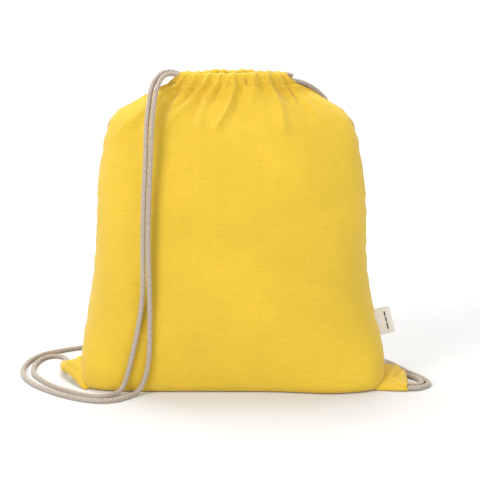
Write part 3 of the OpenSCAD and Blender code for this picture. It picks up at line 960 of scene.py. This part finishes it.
def make_seams():
    """The allowances of both side seams and of the bottom seam."""
    points, _ = panel_points(-1)
    for side, column in (("left", 0), ("right", COLUMNS)):
        edge = points[:len(outline_rows()), column].copy()
        edge = edge[(edge[:, 2] > SIDE_SEAM_Z[0]) & (edge[:, 2] < SIDE_SEAM_Z[1])]
        edge[:, 1] = 0
        edge = resample(edge, 120)
        inward = np.cross(np.gradient(edge, axis=0), (0, 1, 0)) * (-1 if side == "left" else 1)
        inward /= np.linalg.norm(inward, axis=1)[:, None]
        seam_allowance(side + "_side_seam_edges", edge, inward, side + "_side_seam")
    x = np.linspace(-BOTTOM_SEAM_HALF, BOTTOM_SEAM_HALF, 120)
    edge = np.stack([x, 0 * x, np.full_like(x, 0.0008)], 1)
    seam_allowance("bottom_seam_edges", edge, np.tile((0.0, 0.0, 1.0), (120, 1)), "bottom_seam")


make_casing_stitches(-1)
make_casing_stitches(1)
make_seams()


# ---------------------------------------------------------------- label

LABEL_FOOT_X, LABEL_FOOT_Z = 162.6, 46
LABEL_LEAN = math.radians(14.5)
LABEL_W = 16.0
LABEL_H = 30.0
LABEL_FOLD_R = 0.4
# Half of the gap between the folded tape's two layers, and the part of it inside the seam.
LABEL_GAP = 0.34
LABEL_SEWN = 2.4
LABEL_T = 0.0003
BARS_OUT = (8.4, 9.9)
BARS_UP = ((4.5, 12.0), (13.2, 18.6), (19.8, 25.0))
BAR_LIFT = 0.2
BAR_T = 0.00008


def label_point(out, up, y):
    """A point of the label, out from the seam and up along it, in metres."""
    c, s = math.cos(LABEL_LEAN), math.sin(LABEL_LEAN)
    bend = -1.3 * (out / LABEL_W) ** 2 + 0.5 * np.sin(up / 8) * out / LABEL_W
    x = LABEL_FOOT_X + out * c - up * s
    z = LABEL_FOOT_Z + out * s + up * c
    return np.stack(np.broadcast_arrays(x, y + bend, z), -1) * MM


def label_tape():
    """The tape, folded at its outer end."""
    angle = np.linspace(-math.pi / 2, math.pi / 2, 9)
    flat = np.linspace(-LABEL_SEWN, LABEL_W - LABEL_FOLD_R, 34)
    gap = np.full(len(flat), LABEL_GAP)
    out = np.r_[flat, flat[-1] + LABEL_FOLD_R * np.cos(angle), flat[::-1]]
    y = np.r_[-gap, LABEL_GAP * np.sin(angle), gap]
    up = np.linspace(0, LABEL_H, 50)
    points = label_point(out[None], up[:, None], y[None])
    s = arc_lengths(np.stack([out, y], 1))
    uv = np.stack(np.broadcast_arrays(s[None], up[:, None]), -1) * MM
    return thicken(grid_mesh("side_label_tape", points, uv, LABEL), LABEL_T, 0.0)


def label_bar(low, high):
    """One plain printed bar on the label's front."""
    out = np.linspace(*BARS_OUT, 5)[None]
    up = np.linspace(low, high, 16)[:, None]
    face = label_point(out, up, np.array([[-LABEL_GAP - BAR_LIFT]]))
    uv = np.zeros((*face.shape[:2], 2))
    return thicken(grid_mesh(f"label_bar_{low:.0f}", face, uv, INK), BAR_T, 0.0)


def make_label():
    """The folded tape with its bars, and the stitches that hold it in the seam."""
    tape = label_tape()
    join_into(tape, [label_bar(*ends) for ends in BARS_UP])
    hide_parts("side_label")
    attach(tape, "label")
    ends = []
    for k in range(7):
        for face in (-1, 1):
            low, high = (label_point(-5.0, 1.7 + 4 * k + rise, face * 0.9) for rise in (0, 2.6))
            ends.append((low, high, (0, face, 0)))
    stitches = stitch_row("label_stitches", ends)
    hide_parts("label_stitching")
    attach(stitches, "sack")


make_label()


# ---------------------------------------------------------------- stage and light

# Painted light: the floor near the bag is greyer and the backdrop whiter than one white surface would be,
# to even out how brightly the lamps light them.
FLOOR_WHITE = (0.72, 0.72, 0.72)
BACKDROP_WHITE = (0.93, 0.93, 0.93)
FLOOR_FRONT_Y, BEND_Y, BEND_R, BACKDROP_TOP_Z = -3.0, 1.6, 0.8, 3.2
STAGE_HALF_W = 4.0


def make_stage():
    """A floor that curves up into a backdrop, painted greyer near the bag and whiter at the back to even
    out the lamps' light.
    """
    profile = [(FLOOR_FRONT_Y, 0.0), (BEND_Y, 0.0)]
    for a in np.linspace(0, math.pi / 2, 12)[1:]:
        profile.append((BEND_Y + BEND_R * math.sin(a), BEND_R * (1 - math.cos(a))))
    profile.append((BEND_Y + BEND_R, BACKDROP_TOP_Z))
    points = np.array([[(x, y, z) for x in (-STAGE_HALF_W, STAGE_HALF_W)] for y, z in profile])
    m = Nodes("studio_white", BACKDROP_WHITE, 0.9)
    split = m.add("SeparateXYZ")
    m.link(m.mapped((1, 1, 1), "Object"), split.inputs[0])
    # Painted light: grey near the bag to white at the back, along Y.
    m.colour(m.ramp(split.outputs[1], [(0.4, FLOOR_WHITE), (1.0, BACKDROP_WHITE)]))
    obj = grid_mesh("studio_floor", points, np.zeros((*points.shape[:2], 2)), m.material)


def area_light(name, at, to, size, watts, colour=(1, 1, 1)):
    """A soft light at one place that points to another."""
    light = bpy.data.lights.new(name, "AREA")
    light.shape = "RECTANGLE"
    light.size, light.size_y = size
    light.energy = watts
    light.color = colour
    obj = bpy.data.objects.new(name, light)
    obj.location = at
    obj.rotation_euler = (Vector(to) - Vector(at)).to_track_quat("-Z", "Y").to_euler()
    bpy.context.scene.collection.objects.link(obj)


def make_world(strength):
    """Even white light from all round."""
    world = bpy.data.worlds.new("studio")
    world.use_nodes = True
    background = world.node_tree.nodes["Background"]
    background.inputs["Color"].default_value = (1, 1, 1, 1)
    background.inputs["Strength"].default_value = strength
    bpy.context.scene.world = world


make_stage()
area_light("key", (-1.3, -1.3, 1.35), (0, 0, 0.2), (1.0, 0.9), 28, (1, 0.98, 0.96))
area_light("fill", (1.6, -1.5, 0.9), (0, 0, 0.16), (1.4, 1.4), 18, (0.97, 0.98, 1))
area_light("top", (-0.25, 0.75, 2.0), (0, 0, 0.1), (1.3, 1.1), 34)
make_world(0.5)
